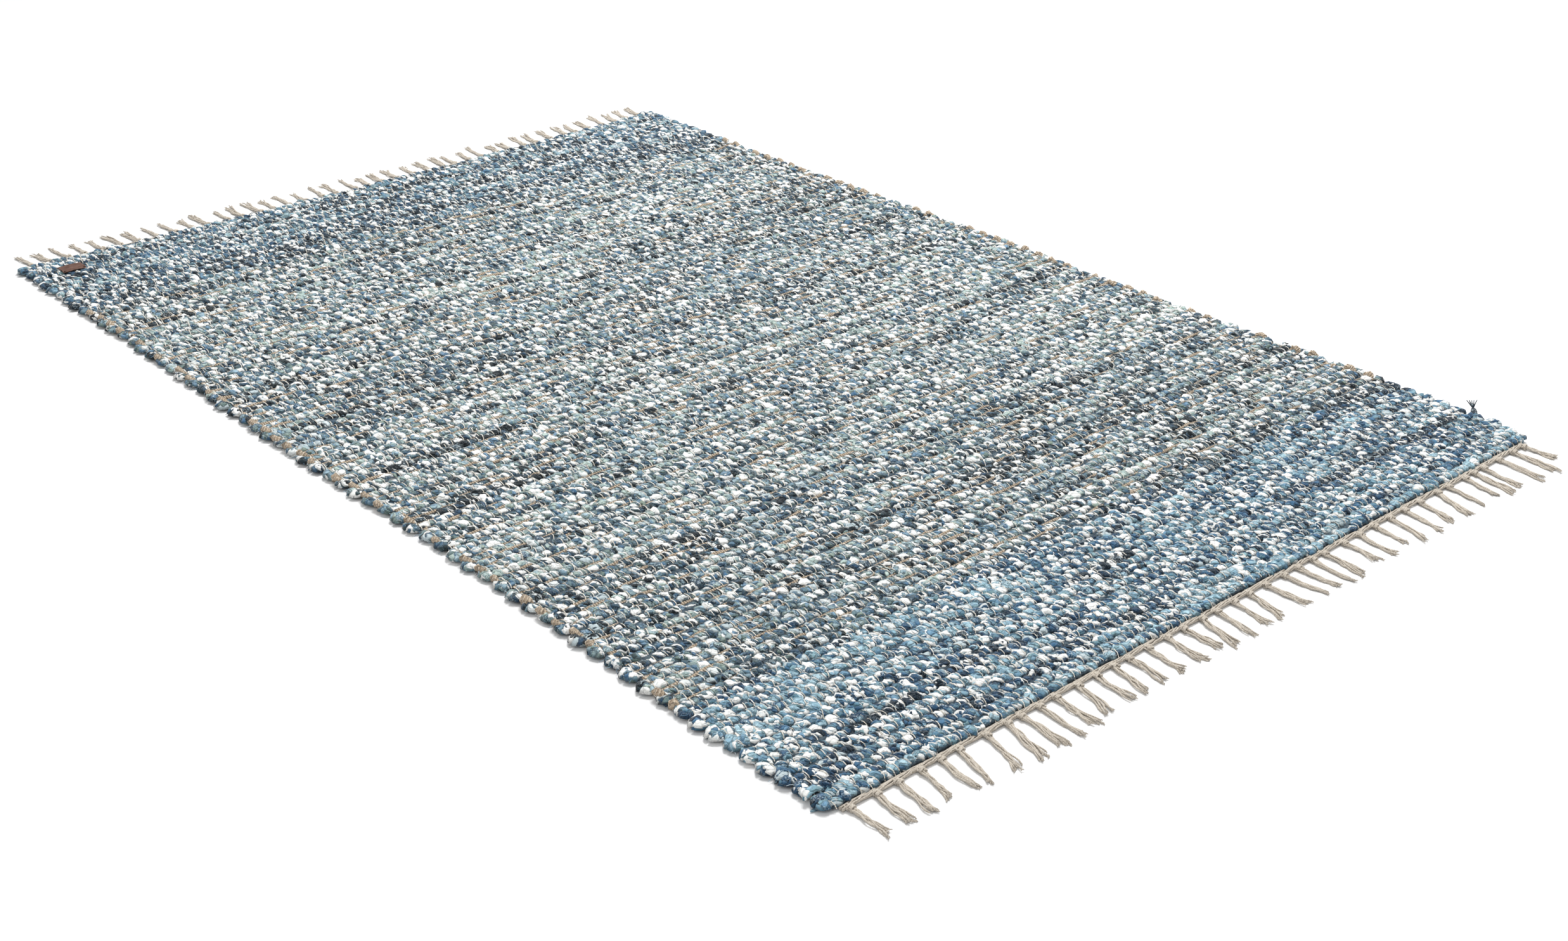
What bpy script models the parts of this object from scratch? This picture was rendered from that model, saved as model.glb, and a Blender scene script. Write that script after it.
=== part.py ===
# A hand-woven rag rug that lies flat. Its picks are rovings of twisted denim and cotton strips, with a
# jute pick between each two over the middle. A twined header and knotted tassels finish each end, and a
# bare leather label is sewn on in one corner.
# Metres, +Z up. X runs along the picks and Y along the warp. The origin is on the floor under the
# middle of the rug, fringes included.
import math
import random

import bpy
import bmesh

# Driving sizes of the cloth
WIDTH = 1.570
END_PICKS = 17
END_PITCH = 0.0165
MIDDLE_PICKS = 92
MIDDLE_PITCH = 0.01943
CROWN = 0.0130
CROWN_VARIES = 0.0007
GROOVE = 0.0090
JUTE_WIDTH = 0.0046
SHOULDERS = (0.32, 0.68)
END_HEIGHT = 0.0080
GAP = 0.0003

# Driving sizes of the selvedge, where each pick turns back into the next
RIM_IN = 0.010
RIM_SHARE = 0.45
LOOP_OUT = 0.0045
LOOP_VARIES = 0.003

# Shares of the width at which the cloth has its inner columns of points
INNER_COLUMNS = (0.4, 0.7)

# How the selvedges lie: distance from the near end, then how far the left and right stand out
SELVEDGE = (
    # along, left_out, right_out
    (0.000, 0.001, -0.016),
    (0.050, 0.002, -0.001),
    (0.268, 0.004, 0.004),
    (0.497, -0.001, 0.002),
    (0.727, -0.005, -0.004),
    (0.959, -0.004, -0.002),
    (1.192, 0.003, 0.004),
    (1.427, 0.004, 0.002),
    (1.664, 0.000, -0.003),
    (1.902, -0.003, -0.007),
    (2.141, 0.002, 0.003),
    (2.349, 0.003, 0.003),
)

# How the far end lies: share of the width from the left, then how far it stands out
FAR_END = (
    # across, out
    (0.0, 0.012),
    (0.4, -0.008),
    (0.7, -0.004),
    (1.0, 0.013),
)

# Driving sizes of the fringes. A tassel is a knot and two locks, the first and last of four edges
HEADER_WIDTH = 0.0090
HEADER_HEIGHTS = (0.0060, 0.0072, 0.0050)
KNOT_LENGTH = 0.0130
LOCK_WIDTH = 0.0052
LOCK_HEIGHT = 0.0052
LOCK_TIP_SHARE = 0.75
LOCK_SPREAD = 0.0047
LOCK_SHORTER = 0.92
LOCK_BEND = 0.0030
SPLIT_SPREAD = 0.0100

# The near tassels from left to right, the first of which is split
NEAR_TASSELS = (
    # root_x, tip_x, reach past the header
    (-0.757, -0.756, 0.071),
    (-0.713, -0.717, 0.072),
    (-0.676, -0.684, 0.075),
    (-0.637, -0.649, 0.065),
    (-0.602, -0.609, 0.073),
    (-0.569, -0.589, 0.078),
    (-0.520, -0.542, 0.082),
    (-0.480, -0.500, 0.088),
    (-0.455, -0.459, 0.085),
    (-0.420, -0.425, 0.085),
    (-0.388, -0.391, 0.083),
    (-0.345, -0.360, 0.073),
    (-0.308, -0.310, 0.072),
    (-0.272, -0.284, 0.073),
    (-0.242, -0.247, 0.073),
    (-0.201, -0.208, 0.073),
    (-0.160, -0.165, 0.073),
    (-0.125, -0.121, 0.065),
    (-0.084, -0.099, 0.077),
    (-0.052, -0.062, 0.075),
    (-0.013, -0.022, 0.070),
    (0.022, 0.008, 0.072),
    (0.060, 0.067, 0.074),
    (0.103, 0.112, 0.075),
    (0.137, 0.142, 0.074),
    (0.173, 0.169, 0.080),
    (0.201, 0.196, 0.077),
    (0.250, 0.249, 0.066),
    (0.290, 0.283, 0.074),
    (0.330, 0.324, 0.062),
    (0.370, 0.355, 0.078),
    (0.408, 0.397, 0.076),
    (0.450, 0.436, 0.072),
    (0.498, 0.476, 0.077),
    (0.528, 0.521, 0.074),
    (0.575, 0.565, 0.070),
    (0.601, 0.593, 0.080),
    (0.628, 0.619, 0.077),
    (0.673, 0.669, 0.087),
    (0.715, 0.712, 0.087),
    (0.746, 0.752, 0.057),
)

# The far tassels stand evenly, a little astray as they were knotted, and lean more towards the right
TASSELS = 41
TASSEL_JITTER = 0.0050
TASSEL_MARGIN = 0.0155
FAR_REACH = (0.060, 0.084)
FAR_LEAN = (-0.06, 0.22)
FAR_LEAN_VARIES = 0.06

# A tassel from its root in the header to where its locks part
TASSEL_ROOT = (
    # share of the knot's length, half of the whole width, half of the gap, rim height, middle height
    (0.0, 0.0052, 0.0010, 0.0050, 0.0062),
    (0.5, 0.0066, 0.0018, 0.0066, 0.0105),
    (1.0, 0.0056, 0.0006, 0.0046, 0.0058),
)

# Driving sizes of the label, and its middle's place from the left far corner
LABEL_SIZE = (0.047, 0.033)
LABEL_THICK = 0.0018
LABEL_FROM_LEFT = 0.074
LABEL_FROM_END = 0.077
LABEL_ARCH = 0.0010

LENGTH = 2 * END_PICKS * END_PITCH + MIDDLE_PICKS * MIDDLE_PITCH
RUG_COLLECTION = "cotton_rug"

rng = random.Random(160230)


def clear_scene():
    for thing in list(bpy.data.objects):
        bpy.data.objects.remove(thing, do_unlink=True)


def material(name, colour, roughness):
    made = bpy.data.materials.new(name)
    made.use_nodes = True
    shader = made.node_tree.nodes["Principled BSDF"]
    shader.inputs["Base Color"].default_value = (*colour, 1.0)
    shader.inputs["Roughness"].default_value = roughness
    shader.inputs["Metallic"].default_value = 0.0
    return made


def between(table, at, column):
    """A column's value at a place between two rows of a table, on the straight line from row to row."""
    for low, high in zip(table, table[1:]):
        if at <= high[0]:
            share = max((at - low[0]) / (high[0] - low[0]), 0.0)
            return low[column] + (high[column] - low[column]) * share
    return table[-1][column]


def lay_picks():
    """Where each rag pick starts along the rug, its pitch, and if a jute pick lies after it."""
    picks = []
    start = 0.0
    for number in range(2 * END_PICKS + MIDDLE_PICKS):
        past_near_zone = number - END_PICKS
        in_middle = 0 <= past_near_zone < MIDDLE_PICKS
        pitch = MIDDLE_PITCH if in_middle else END_PITCH
        picks.append((start, pitch, in_middle and past_near_zone < MIDDLE_PICKS - 1))
        start += pitch
    return picks


def ridge_rows(picks):
    """Rows of points across the cloth: distance along, height, and the pick's number."""
    rows = [(0.0, END_HEIGHT, 0)]
    for number, (start, pitch, jute_after) in enumerate(picks):
        crown = CROWN + rng.uniform(-CROWN_VARIES, CROWN_VARIES)
        rows += [(start + share * pitch, crown, number) for share in SHOULDERS]
        end = start + pitch
        if number == len(picks) - 1:
            rows.append((end, END_HEIGHT, number))
        elif jute_after:
            rows.append((end - JUTE_WIDTH / 2, GROOVE, number))
            rows.append((end + JUTE_WIDTH / 2, GROOVE, number + 1))
        else:
            rows.append((end, GROOVE, number))
    return rows


def loop_out(picks, number, along, shift):
    """Each pair of picks makes one rounded loop at the selvedge, and the pairs of one side straddle
    those of the other."""
    first = number - (number + shift) % 2
    last_start, last_pitch, _ = picks[min(first + 1, len(picks) - 1)]
    start = picks[max(first, 0)][0]
    share = (along - start) / (last_start + last_pitch - start)
    reach = LOOP_OUT + LOOP_VARIES * math.sin(2.3 * first + shift)
    return reach * (2 * math.sin(math.pi * share) - 1)


def row_ends(picks, along, number):
    left = -WIDTH / 2 - between(SELVEDGE, along, 1) - loop_out(picks, number, along, 0)
    right = WIDTH / 2 + between(SELVEDGE, along, 2) + loop_out(picks, number, along, 1)
    return left, right


def place_across(left, right, column):
    """A column's place along X, from the rim at one selvedge to the rim at the other."""
    inner = [left + share * (right - left) for share in INNER_COLUMNS]
    return [left, left + RIM_IN, *inner, right - RIM_IN, right][column]


def place_along(x, along):
    """The near half lies straight, and the far half bows more and more to the far end's line."""
    bow = between(FAR_END, (x + WIDTH / 2) / WIDTH, 1)
    far = max(2 * along / LENGTH - 1, 0.0)
    return along - LENGTH / 2 + bow * far * far


def close_to_floor(bm):
    """Walls from the open rim straight down to the floor, and one flat face under them."""
    rim = [edge for edge in bm.edges if edge.is_boundary]
    made = bmesh.ops.extrude_edge_only(bm, edges=rim)["geom"]
    for vert in made:
        if isinstance(vert, bmesh.types.BMVert):
            vert.co.z = 0.0
    foot = [edge for edge in bm.edges if edge.is_boundary]
    bmesh.ops.edgeloop_fill(bm, edges=foot)
    bmesh.ops.recalc_face_normals(bm, faces=bm.faces)


def add_object(name, bm, mat):
    mesh = bpy.data.meshes.new(name)
    bm.to_mesh(mesh)
    bm.free()
    mesh.materials.append(mat)
    made = bpy.data.objects.new(name, mesh)
    bpy.data.collections[RUG_COLLECTION].objects.link(made)
    return made


def grid_steps(vert, columns, rows):
    """Which column and row of a grid of size 0.5 a point belongs to."""
    return round((vert.co.x + 0.5) * columns), round((vert.co.y + 0.5) * rows)


def build_body(picks, mat):
    """The woven cloth: a ridge for each rag pick, a groove between, and looped selvedges."""
    rows = ridge_rows(picks)
    last_column = len(INNER_COLUMNS) + 3
    last_row = len(rows) - 1
    bm = bmesh.new()
    bmesh.ops.create_grid(bm, x_segments=last_column, y_segments=last_row, size=0.5)
    for vert in bm.verts:
        column, row = grid_steps(vert, last_column, last_row)
        along, height, number = rows[row]
        left, right = row_ends(picks, along, number)
        x = place_across(left, right, column)
        share = RIM_SHARE if column in (0, last_column) else 1.0
        vert.co = (x, place_along(x, along), height * share)
    close_to_floor(bm)
    return add_object("rug_body", bm, mat)


def end_line(picks, far):
    """The inner points of one end of the cloth, from left to right, which the header follows."""
    along = LENGTH if far else 0.0
    left, right = row_ends(picks, along, len(picks) - 1 if far else 0)
    places = [place_across(left, right, column) for column in range(1, len(INNER_COLUMNS) + 3)]
    return [(x, place_along(x, along)) for x in places]


def tassel_edges(tassel, root_y, outward, spread):
    """Rows of four points across a tassel, from its root in the header out to the tips of its locks."""
    x, tip_x, reach = tassel
    lean = (tip_x - x) / reach
    bend = rng.uniform(-LOCK_BEND, LOCK_BEND)
    lengths = [reach - KNOT_LENGTH, (reach - KNOT_LENGTH) * LOCK_SHORTER]
    rng.shuffle(lengths)
    rows = []
    for share, half, gap, rim, middle in TASSEL_ROOT:
        y = root_y + outward * share * KNOT_LENGTH
        spots = ((-half, rim), (-gap, middle), (gap, middle), (half, rim))
        rows.append([(x + side, y, height) for side, height in spots])
    for share in (0.5, 1.0):
        row = []
        for lock, lock_length in zip((-1, 1), lengths):
            out = KNOT_LENGTH + share * lock_length
            middle_x = x + lean * out + bend * math.sin(math.pi * share)
            middle_x += lock * (LOCK_WIDTH * 0.6 + share * (spread - LOCK_WIDTH * 0.6))
            width = LOCK_WIDTH * (1 - (1 - LOCK_TIP_SHARE) * share)
            height = LOCK_HEIGHT * (1 - (1 - LOCK_TIP_SHARE) * share)
            row += [(middle_x + end * width / 2, root_y + outward * out, height) for end in (-1, 1)]
        rows.append(row)
    return rows


def far_tassels(line):
    """Each far tassel's root, tip and reach along the header."""
    first = line[0][0] + TASSEL_MARGIN
    step = (line[-1][0] - TASSEL_MARGIN - first) / (TASSELS - 1)
    tassels = []
    for number in range(TASSELS):
        x = first + number * step
        if 0 < number < TASSELS - 1:
            x += rng.uniform(-TASSEL_JITTER, TASSEL_JITTER)
        reach = rng.uniform(*FAR_REACH)
        lean = FAR_LEAN[0] + (FAR_LEAN[1] - FAR_LEAN[0]) * number / (TASSELS - 1)
        lean += rng.uniform(-FAR_LEAN_VARIES, FAR_LEAN_VARIES)
        tassels.append((x, x + lean * reach, reach))
    return tassels


def build_fringe(name, line, tassels, outward, mat):
    """One end's twined header with its knotted tassels, as one comb-shaped body: a grid with a column
    for each lock and each gap, whose gaps are then taken out."""
    hung = []
    for tassel in tassels:
        root_y = between(line, tassel[0], 1) + outward * (GAP + HEADER_WIDTH)
        spread = SPLIT_SPREAD if tassel == NEAR_TASSELS[0] else LOCK_SPREAD
        hung.append(tassel_edges(tassel, root_y, outward, spread))
    margins = (line[0][0], line[-1][0])
    edge_places = [margins[0], *(spot[0] for rows in hung for spot in rows[0]), margins[1]]
    columns = len(edge_places) - 1
    header_rows = len(HEADER_HEIGHTS) - 1
    rows = header_rows + len(hung[0]) - 1
    bm = bmesh.new()
    bmesh.ops.create_grid(bm, x_segments=columns, y_segments=rows, size=0.5)
    steps = {vert: grid_steps(vert, columns, rows) for vert in bm.verts}
    gaps = [face for face in bm.faces if is_gap([steps[vert] for vert in face.verts], header_rows)]
    for vert, (column, row) in steps.items():
        number, edge = divmod(column - 1, 4)
        if row >= header_rows and 0 <= number < len(hung):
            vert.co = hung[number][row - header_rows][edge]
        elif row <= header_rows:
            x = edge_places[column]
            out = GAP + HEADER_WIDTH * row / header_rows
            vert.co = (x, between(line, x, 1) + outward * out, HEADER_HEIGHTS[row])
    bmesh.ops.delete(bm, geom=gaps, context="FACES")
    close_to_floor(bm)
    bmesh.ops.dissolve_limit(
        bm, angle_limit=math.radians(0.05), verts=bm.verts, edges=bm.edges
    )
    return add_object(name, bm, mat)


def is_gap(corners, header_rows):
    """If a face of the fringe's grid lies between two tassels or between the two locks of one."""
    column = min(corner[0] for corner in corners)
    row = min(corner[1] for corner in corners)
    across = column % 4
    past_knot = row >= header_rows + len(TASSEL_ROOT) - 1
    return row >= header_rows and (across == 0 or past_knot and across == 2)


def build_label(picks, mat):
    """The leather patch: a thin sheet that lies on the picks and arches a little over them."""
    columns = 5
    rows = 5
    start = LENGTH - LABEL_FROM_END
    middle_x = -WIDTH / 2 + LABEL_FROM_LEFT
    bm = bmesh.new()
    bmesh.ops.create_grid(bm, x_segments=columns, y_segments=rows, size=0.5)
    middle_y = place_along(middle_x, start)
    for vert in bm.verts:
        arch = LABEL_ARCH * (1 - 4 * vert.co.y * vert.co.y)
        height = CROWN + CROWN_VARIES + GAP + arch
        x = middle_x + vert.co.x * LABEL_SIZE[0]
        y = middle_y + vert.co.y * LABEL_SIZE[1]
        vert.co = (x, y, height)
    bmesh.ops.recalc_face_normals(bm, faces=bm.faces)
    label = add_object("label", bm, mat)
    thick = label.modifiers.new("thickness", "SOLIDIFY")
    thick.thickness = LABEL_THICK
    thick.offset = 1.0
    return label


def centre_on_floor(parts):
    """Carries all parts by one empty, so that the origin is under the middle of the whole rug."""
    bpy.context.view_layer.update()
    graph = bpy.context.evaluated_depsgraph_get()
    points = []
    for part in parts:
        points += [part.matrix_world @ vert.co for vert in part.evaluated_get(graph).data.vertices]
    middle_x = (min(p.x for p in points) + max(p.x for p in points)) / 2
    middle_y = (min(p.y for p in points) + max(p.y for p in points)) / 2
    carrier = bpy.data.objects.new("rug_lies_here", None)
    bpy.data.collections[RUG_COLLECTION].objects.link(carrier)
    carrier.location = (-middle_x, -middle_y, 0.0)
    for part in parts:
        part.parent = carrier


clear_scene()
bpy.context.scene.collection.children.link(bpy.data.collections.new(RUG_COLLECTION))
woven_cotton = material("woven_cotton", (0.30, 0.40, 0.48), 0.9)
fringe_yarn = material("fringe_yarn", (0.56, 0.49, 0.39), 0.85)
label_leather = material("label_leather", (0.11, 0.058, 0.043), 0.6)

all_picks = lay_picks()
body = build_body(all_picks, woven_cotton)
near_line = end_line(all_picks, False)
far_line = end_line(all_picks, True)
near = build_fringe("fringe_near", near_line, NEAR_TASSELS, -1, fringe_yarn)
far = build_fringe("fringe_far", far_line, far_tassels(far_line), 1, fringe_yarn)
patch = build_label(all_picks, label_leather)
centre_on_floor([body, near, far, patch])
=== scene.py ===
import math

import bpy
import numpy as np
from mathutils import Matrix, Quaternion, Vector


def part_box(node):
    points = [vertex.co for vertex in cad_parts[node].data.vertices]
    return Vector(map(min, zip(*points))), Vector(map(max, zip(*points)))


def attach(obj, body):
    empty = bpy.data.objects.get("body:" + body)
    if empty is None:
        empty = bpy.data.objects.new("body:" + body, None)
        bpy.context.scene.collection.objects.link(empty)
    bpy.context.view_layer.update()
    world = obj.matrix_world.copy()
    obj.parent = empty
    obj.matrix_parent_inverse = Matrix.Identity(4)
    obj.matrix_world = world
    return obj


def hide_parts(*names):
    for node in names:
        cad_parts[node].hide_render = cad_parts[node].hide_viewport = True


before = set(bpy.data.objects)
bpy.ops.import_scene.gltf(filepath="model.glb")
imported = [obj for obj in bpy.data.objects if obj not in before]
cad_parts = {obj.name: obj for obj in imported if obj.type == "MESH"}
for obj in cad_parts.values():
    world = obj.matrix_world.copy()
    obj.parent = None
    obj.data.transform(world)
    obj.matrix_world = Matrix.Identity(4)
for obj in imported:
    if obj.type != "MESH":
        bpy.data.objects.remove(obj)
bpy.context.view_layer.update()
rng = np.random.default_rng(160230)

# The studio. The rug lies on a pale seamless floor under wide soft lamps, and the camera stands off its
# near left corner, a little above a person's waist, with a normal lens.
CAMERA_PLACE = Vector((-2.1717, -2.6707, 1.5020))
CAMERA_LOOK = Vector((0.58881, 0.66959, -0.45272))
CAMERA_ROLL = math.radians(0.12)
LENS_MM = 47.56
SENSOR_MM = 36.0
FLOOR_SIZE = 30.0
WALL_LIGHT = 0.53

camera = bpy.data.objects.new("camera", bpy.data.cameras.new("camera"))
camera.data.lens = LENS_MM
camera.data.sensor_width = SENSOR_MM
camera.location = CAMERA_PLACE
camera.rotation_mode = "QUATERNION"
roll = Quaternion((0.0, 0.0, 1.0), CAMERA_ROLL)
camera.rotation_quaternion = CAMERA_LOOK.to_track_quat("-Z", "Y") @ roll
bpy.context.scene.collection.objects.link(camera)
bpy.context.scene.camera = camera
bpy.context.scene.view_settings.view_transform = "Standard"


def srgb(code):
    """A colour as a screen shows it, six hex digits, turned into the shader's linear numbers."""
    parts = [int(code[at:at + 2], 16) / 255 for at in (0, 2, 4)]
    return (*(p / 12.92 if p <= 0.04045 else ((p + 0.055) / 1.055) ** 2.4 for p in parts), 1.0)


def new_finish(name, roughness, sheen=0.0):
    """A new material, with its plain numbers on its own shader."""
    made = bpy.data.materials.new(name)
    made.use_nodes = True
    shader = made.node_tree.nodes["Principled BSDF"]
    shader.inputs["Roughness"].default_value = roughness
    shader.inputs["Sheen Weight"].default_value = sheen
    shader.inputs["Specular IOR Level"].default_value = 0.25
    return made


def node(finish, kind, *values, **settings):
    """Adds a shader node. Values fill its inputs in order: a socket is linked, and None is left."""
    made = finish.node_tree.nodes.new("ShaderNode" + kind)
    for key, value in settings.items():
        setattr(made, key, value)
    for socket, value in zip(made.inputs, values):
        join(finish, socket, value)
    return made


def join(finish, socket, value):
    """Links a socket to another, or sets its plain value."""
    if isinstance(value, bpy.types.NodeSocket):
        finish.node_tree.links.new(value, socket)
    elif value is not None:
        socket.default_value = value


def sums(finish, operation, *values, clamp=False):
    """One step of sums on sockets and numbers."""
    return node(finish, "Math", *values, operation=operation, use_clamp=clamp).outputs[0]


def blend_colours(finish, share, first, second, way="MIX"):
    """The first colour, with a share of the second mixed in."""
    made = node(finish, "Mix", data_type="RGBA", blend_type=way)
    join(finish, made.inputs[0], share)
    join(finish, made.inputs[6], first)
    join(finish, made.inputs[7], second)
    return made.outputs[2]


def steps(finish, share, stops, smooth=False):
    """A row of colours or greys over a share from 0 to 1, each from its own place on."""
    made = node(finish, "ValToRGB", share)
    made.color_ramp.interpolation = "LINEAR" if smooth else "CONSTANT"
    elements = made.color_ramp.elements
    while len(elements) < len(stops):
        elements.new(0.5)
    for element, (place, colour) in zip(elements, stops):
        element.position = place
        element.color = srgb(colour)
    return made.outputs[0]


def place_on(finish):
    """Where in the room each point of the surface lies."""
    return node(finish, "NewGeometry").outputs["Position"]


def noise(finish, vector, scale, detail=2.0, rough=0.5):
    """Smooth noise around a half."""
    return node(finish, "TexNoise", vector, None, scale, detail, rough).outputs[0]


def dress(finish, colour=None, height=None, depth=0.001, strength=1.0):
    """Puts a colour and a relief, in metres, on a finish's shader."""
    shader = finish.node_tree.nodes["Principled BSDF"]
    if colour is not None:
        join(finish, shader.inputs["Base Color"], colour)
    if height is not None:
        bump = node(finish, "Bump", strength, depth)
        join(finish, bump.inputs["Height"], height)
        join(finish, shader.inputs["Normal"], bump.outputs[0])


floor_finish = new_finish("floor_paint", 0.9)
floor_place = place_on(floor_finish)
floor_cloud = noise(floor_finish, floor_place, 0.6)
dress(floor_finish, steps(floor_finish, floor_cloud, [(0.3, "ECECEC"), (0.7, "EEEEEE")], True))
bpy.ops.mesh.primitive_plane_add(size=FLOOR_SIZE)
floor = bpy.context.object
floor.name = "floor"
floor.data.materials.append(floor_finish)

# name, place, aimed at, size, watts
LAMPS = (
    ("lamp_over", (1.1, 0.6, 4.2), (0.0, -0.2, 0.0), 2.2, 208.0),
    ("lamp_right", (3.6, 1.2, 2.6), (0.0, 0.0, 0.0), 2.4, 74.0),
    ("lamp_camera", (-3.0, -2.6, 3.4), (0.0, 0.0, 0.0), 3.0, 45.0),
)
for lamp_name, place, aim, size, watts in LAMPS:
    lamp = bpy.data.lights.new(lamp_name, "AREA")
    lamp.shape = "DISK"
    lamp.size = size
    lamp.energy = watts
    holder = bpy.data.objects.new(lamp_name, lamp)
    holder.location = place
    holder.rotation_mode = "QUATERNION"
    holder.rotation_quaternion = (Vector(aim) - Vector(place)).to_track_quat("-Z", "Y")
    bpy.context.scene.collection.objects.link(holder)

world = bpy.data.worlds.new("studio_walls")
bpy.context.scene.world = world
world.use_nodes = True
world.node_tree.nodes["Background"].inputs[0].default_value = (1.0, 1.0, 1.0, 1.0)
world.node_tree.nodes["Background"].inputs[1].default_value = WALL_LIGHT

# The ground of the cloth. Between and under the picks the cotton warps and the flattened undersides of the
# rags close the cloth. It is one thin sheet in the middle of its thickness, from selvedge to selvedge.
END_PICKS = 17
END_PITCH = 0.0165
MIDDLE_PICKS = 92
MIDDLE_PITCH = 0.01943
CLOTH_MIDDLE = 0.0064
GROUND_THICK = 0.0036
WARP_PAIRS = 106
GROUND_IN = 0.012
GROUND_COLUMNS = 24
SELVEDGE_FROM = 0.7
FOOT_HEIGHT = 0.0005
BOW_PLACES = (0.0, 0.4, 0.7, 1.0)
BOW_OUT = (0.012, -0.008, -0.004, 0.013)

pitches = np.r_[
    np.full(END_PICKS, END_PITCH), np.full(MIDDLE_PICKS, MIDDLE_PITCH), np.full(END_PICKS, END_PITCH)
]
picks = len(pitches)
middle_end = END_PICKS + MIDDLE_PICKS
cloth_length = pitches.sum()
pick_start = np.cumsum(pitches) - pitches
pick_middle = pick_start + pitches / 2
body_low, body_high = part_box("rug_body")
near_end = body_low.y
cloth_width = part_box("fringe_near")[1].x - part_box("fringe_near")[0].x
bow_curve = np.polynomial.Polynomial.fit(BOW_PLACES, BOW_OUT, 3)


def points_of(name):
    """The points of one of the rug's solids."""
    return np.array([vert.co[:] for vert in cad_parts[name].data.vertices])


def lie(x, along):
    """Where a point of the cloth lies along Y: straight in the near half, bowed towards the far end."""
    bow = bow_curve((x - body_low.x) / (body_high.x - body_low.x))
    far = np.maximum(2 * along / cloth_length - 1, 0.0)
    return near_end + along + bow * far * far


body_points = points_of("rug_body")
foot = body_points[body_points[:, 2] < FOOT_HEIGHT]


def selvedge_at(along, side):
    """How far out the body reaches on one side, read from its foot."""
    edge = foot[foot[:, 0] * side > SELVEDGE_FROM]
    edge = edge[np.argsort(edge[:, 1])]
    y = lie(side * abs(body_low.x), along)
    return np.interp(y, edge[:, 1], edge[:, 0])


def smoothed(values, reach):
    """A running mean with its ends held."""
    padded = np.r_[np.full(reach, values[0]), values, np.full(reach, values[-1])]
    return np.convolve(padded, np.ones(2 * reach + 1) / (2 * reach + 1), "valid")


left_line = smoothed(selvedge_at(pick_middle, -1), 3)
right_line = smoothed(selvedge_at(pick_middle, 1), 3)


def make_piece(name, points, faces, finish):
    """A smooth piece from its points and faces."""
    mesh = bpy.data.meshes.new(name)
    mesh.from_pydata(points.tolist(), [], faces)
    mesh.materials.append(finish)
    mesh.shade_smooth()
    made = bpy.data.objects.new(name, mesh)
    bpy.context.scene.collection.objects.link(made)
    return made


def grid_faces(rows, columns):
    """The faces of a grid of points that are listed row by row."""
    at = (np.arange(rows - 1)[:, None] * columns + np.arange(columns - 1)).reshape(-1)
    return np.stack([at, at + 1, at + columns + 1, at + columns], -1).tolist()


def put_in_cloth(piece):
    """Makes a piece part of the woven cloth."""
    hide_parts("rug_body")
    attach(piece, "root")


ground_finish = new_finish("ground_cloth_shaded", 0.95)
ground_place = place_on(ground_finish)
ground_mix = noise(ground_finish, ground_place, 160.0)
# The ground's colour is painted shade: a dark blue-grey for the gaps between the picks, where only shade
# shows, in place of the colour of the warps and the rag undersides.
ground_shaded_tint = steps(ground_finish, ground_mix, [(0.3, "222D37"), (0.5, "3A4852"), (0.7, "59656C")], True)
dress(ground_finish, ground_shaded_tint, noise(ground_finish, ground_place, 500.0))
ground_along = np.r_[0.001, pick_middle[::2], cloth_length - 0.001]
share_across = np.linspace(0.0, 1.0, GROUND_COLUMNS + 1)
ground_left = np.interp(ground_along, pick_middle, left_line) + GROUND_IN
ground_right = np.interp(ground_along, pick_middle, right_line) - GROUND_IN
ground_x = ground_left[:, None] + share_across * (ground_right - ground_left)[:, None]
ground_y = lie(ground_x, ground_along[:, None])
ground_points = np.stack([ground_x, ground_y, np.full_like(ground_x, CLOTH_MIDDLE)], -1).reshape(-1, 3)
ground = make_piece("rug_ground", ground_points, grid_faces(*ground_x.shape), ground_finish)
thicken = ground.modifiers.new("thickness", "SOLIDIFY")
thicken.thickness = GROUND_THICK
thicken.offset = 0.0
put_in_cloth(ground)

# The rag weft. One long roving of three torn strips, mostly one white and two denims, twisted together and
# beaten in pick by pick. It turns back at each selvedge. Each warp that crosses it cuts in, and the rag
# swells between the warps, in the end bands into the pinches of its neighbours.
RAG_HALF_WIDTH_END = 0.0107
RAG_HALF_WIDTH_MIDDLE = 0.0108
RAG_HALF_HEIGHT = 0.0071
RAG_ANGLES = np.radians([180.0, 264.0, 312.0, 360.0, 408.0, 456.0])
RINGS_PER_WARP = 4
PINCH_HEIGHTS = np.array([0.62, 0.92, 1.0, 0.92])
PINCH_WIDTHS = np.array([0.56, 0.86, 1.0, 0.86])
LOOSE_PINCHES = 0.22
LOOSE_HEIGHT = 0.86
LOOSE_WIDTH = 0.90
PICK_LENGTH = 1.02
SWELL_VARIES = 0.14
SWELL_ASIDE = 0.0016
SWELL_UP = 0.0009
PICK_WANDER = 0.0009
WARP_STRAYS = 0.13
WARP_STRAYS_OWN = 0.09
LUMP = 0.07
RIDGE = 0.07
TURN_RINGS = 4
TURN_ROOM = 0.0150
TURN_HALF = 0.0092
TURN_FROM = 0.94
TURN_SWELL = 1.08
TURN_VARIES = 0.10
TWIST_PITCH = 0.052
TAIL_TURN = 0.09
TURN_AT_PINCH = (0.26, 0.52)
TWIST_VARIES = 0.40
WHITE_TO = 0.325
WHITE_BY_TONE = 0.25
THIRD_FROM = 0.67
STRIP_RUN = 0.09
SHARDS_PER_METRE = 112.0
SHARD_TURN = 0.32
SHARD_TONE = 0.44
BLOB_TONE = 0.10
# How fast red, green and blue fall in the rags' painted shade, so that deeper painted shade is bluer
SHADE_BLUE_POWERS = (1.30, 1.05, 0.93)
TORN = 0.0032
RAG_RELIEF = 0.0030
# The heights above the floor over which the painted shade on the rags fades out
SHADE_FROM = 0.0045
SHADE_REACH = 0.0080

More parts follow.
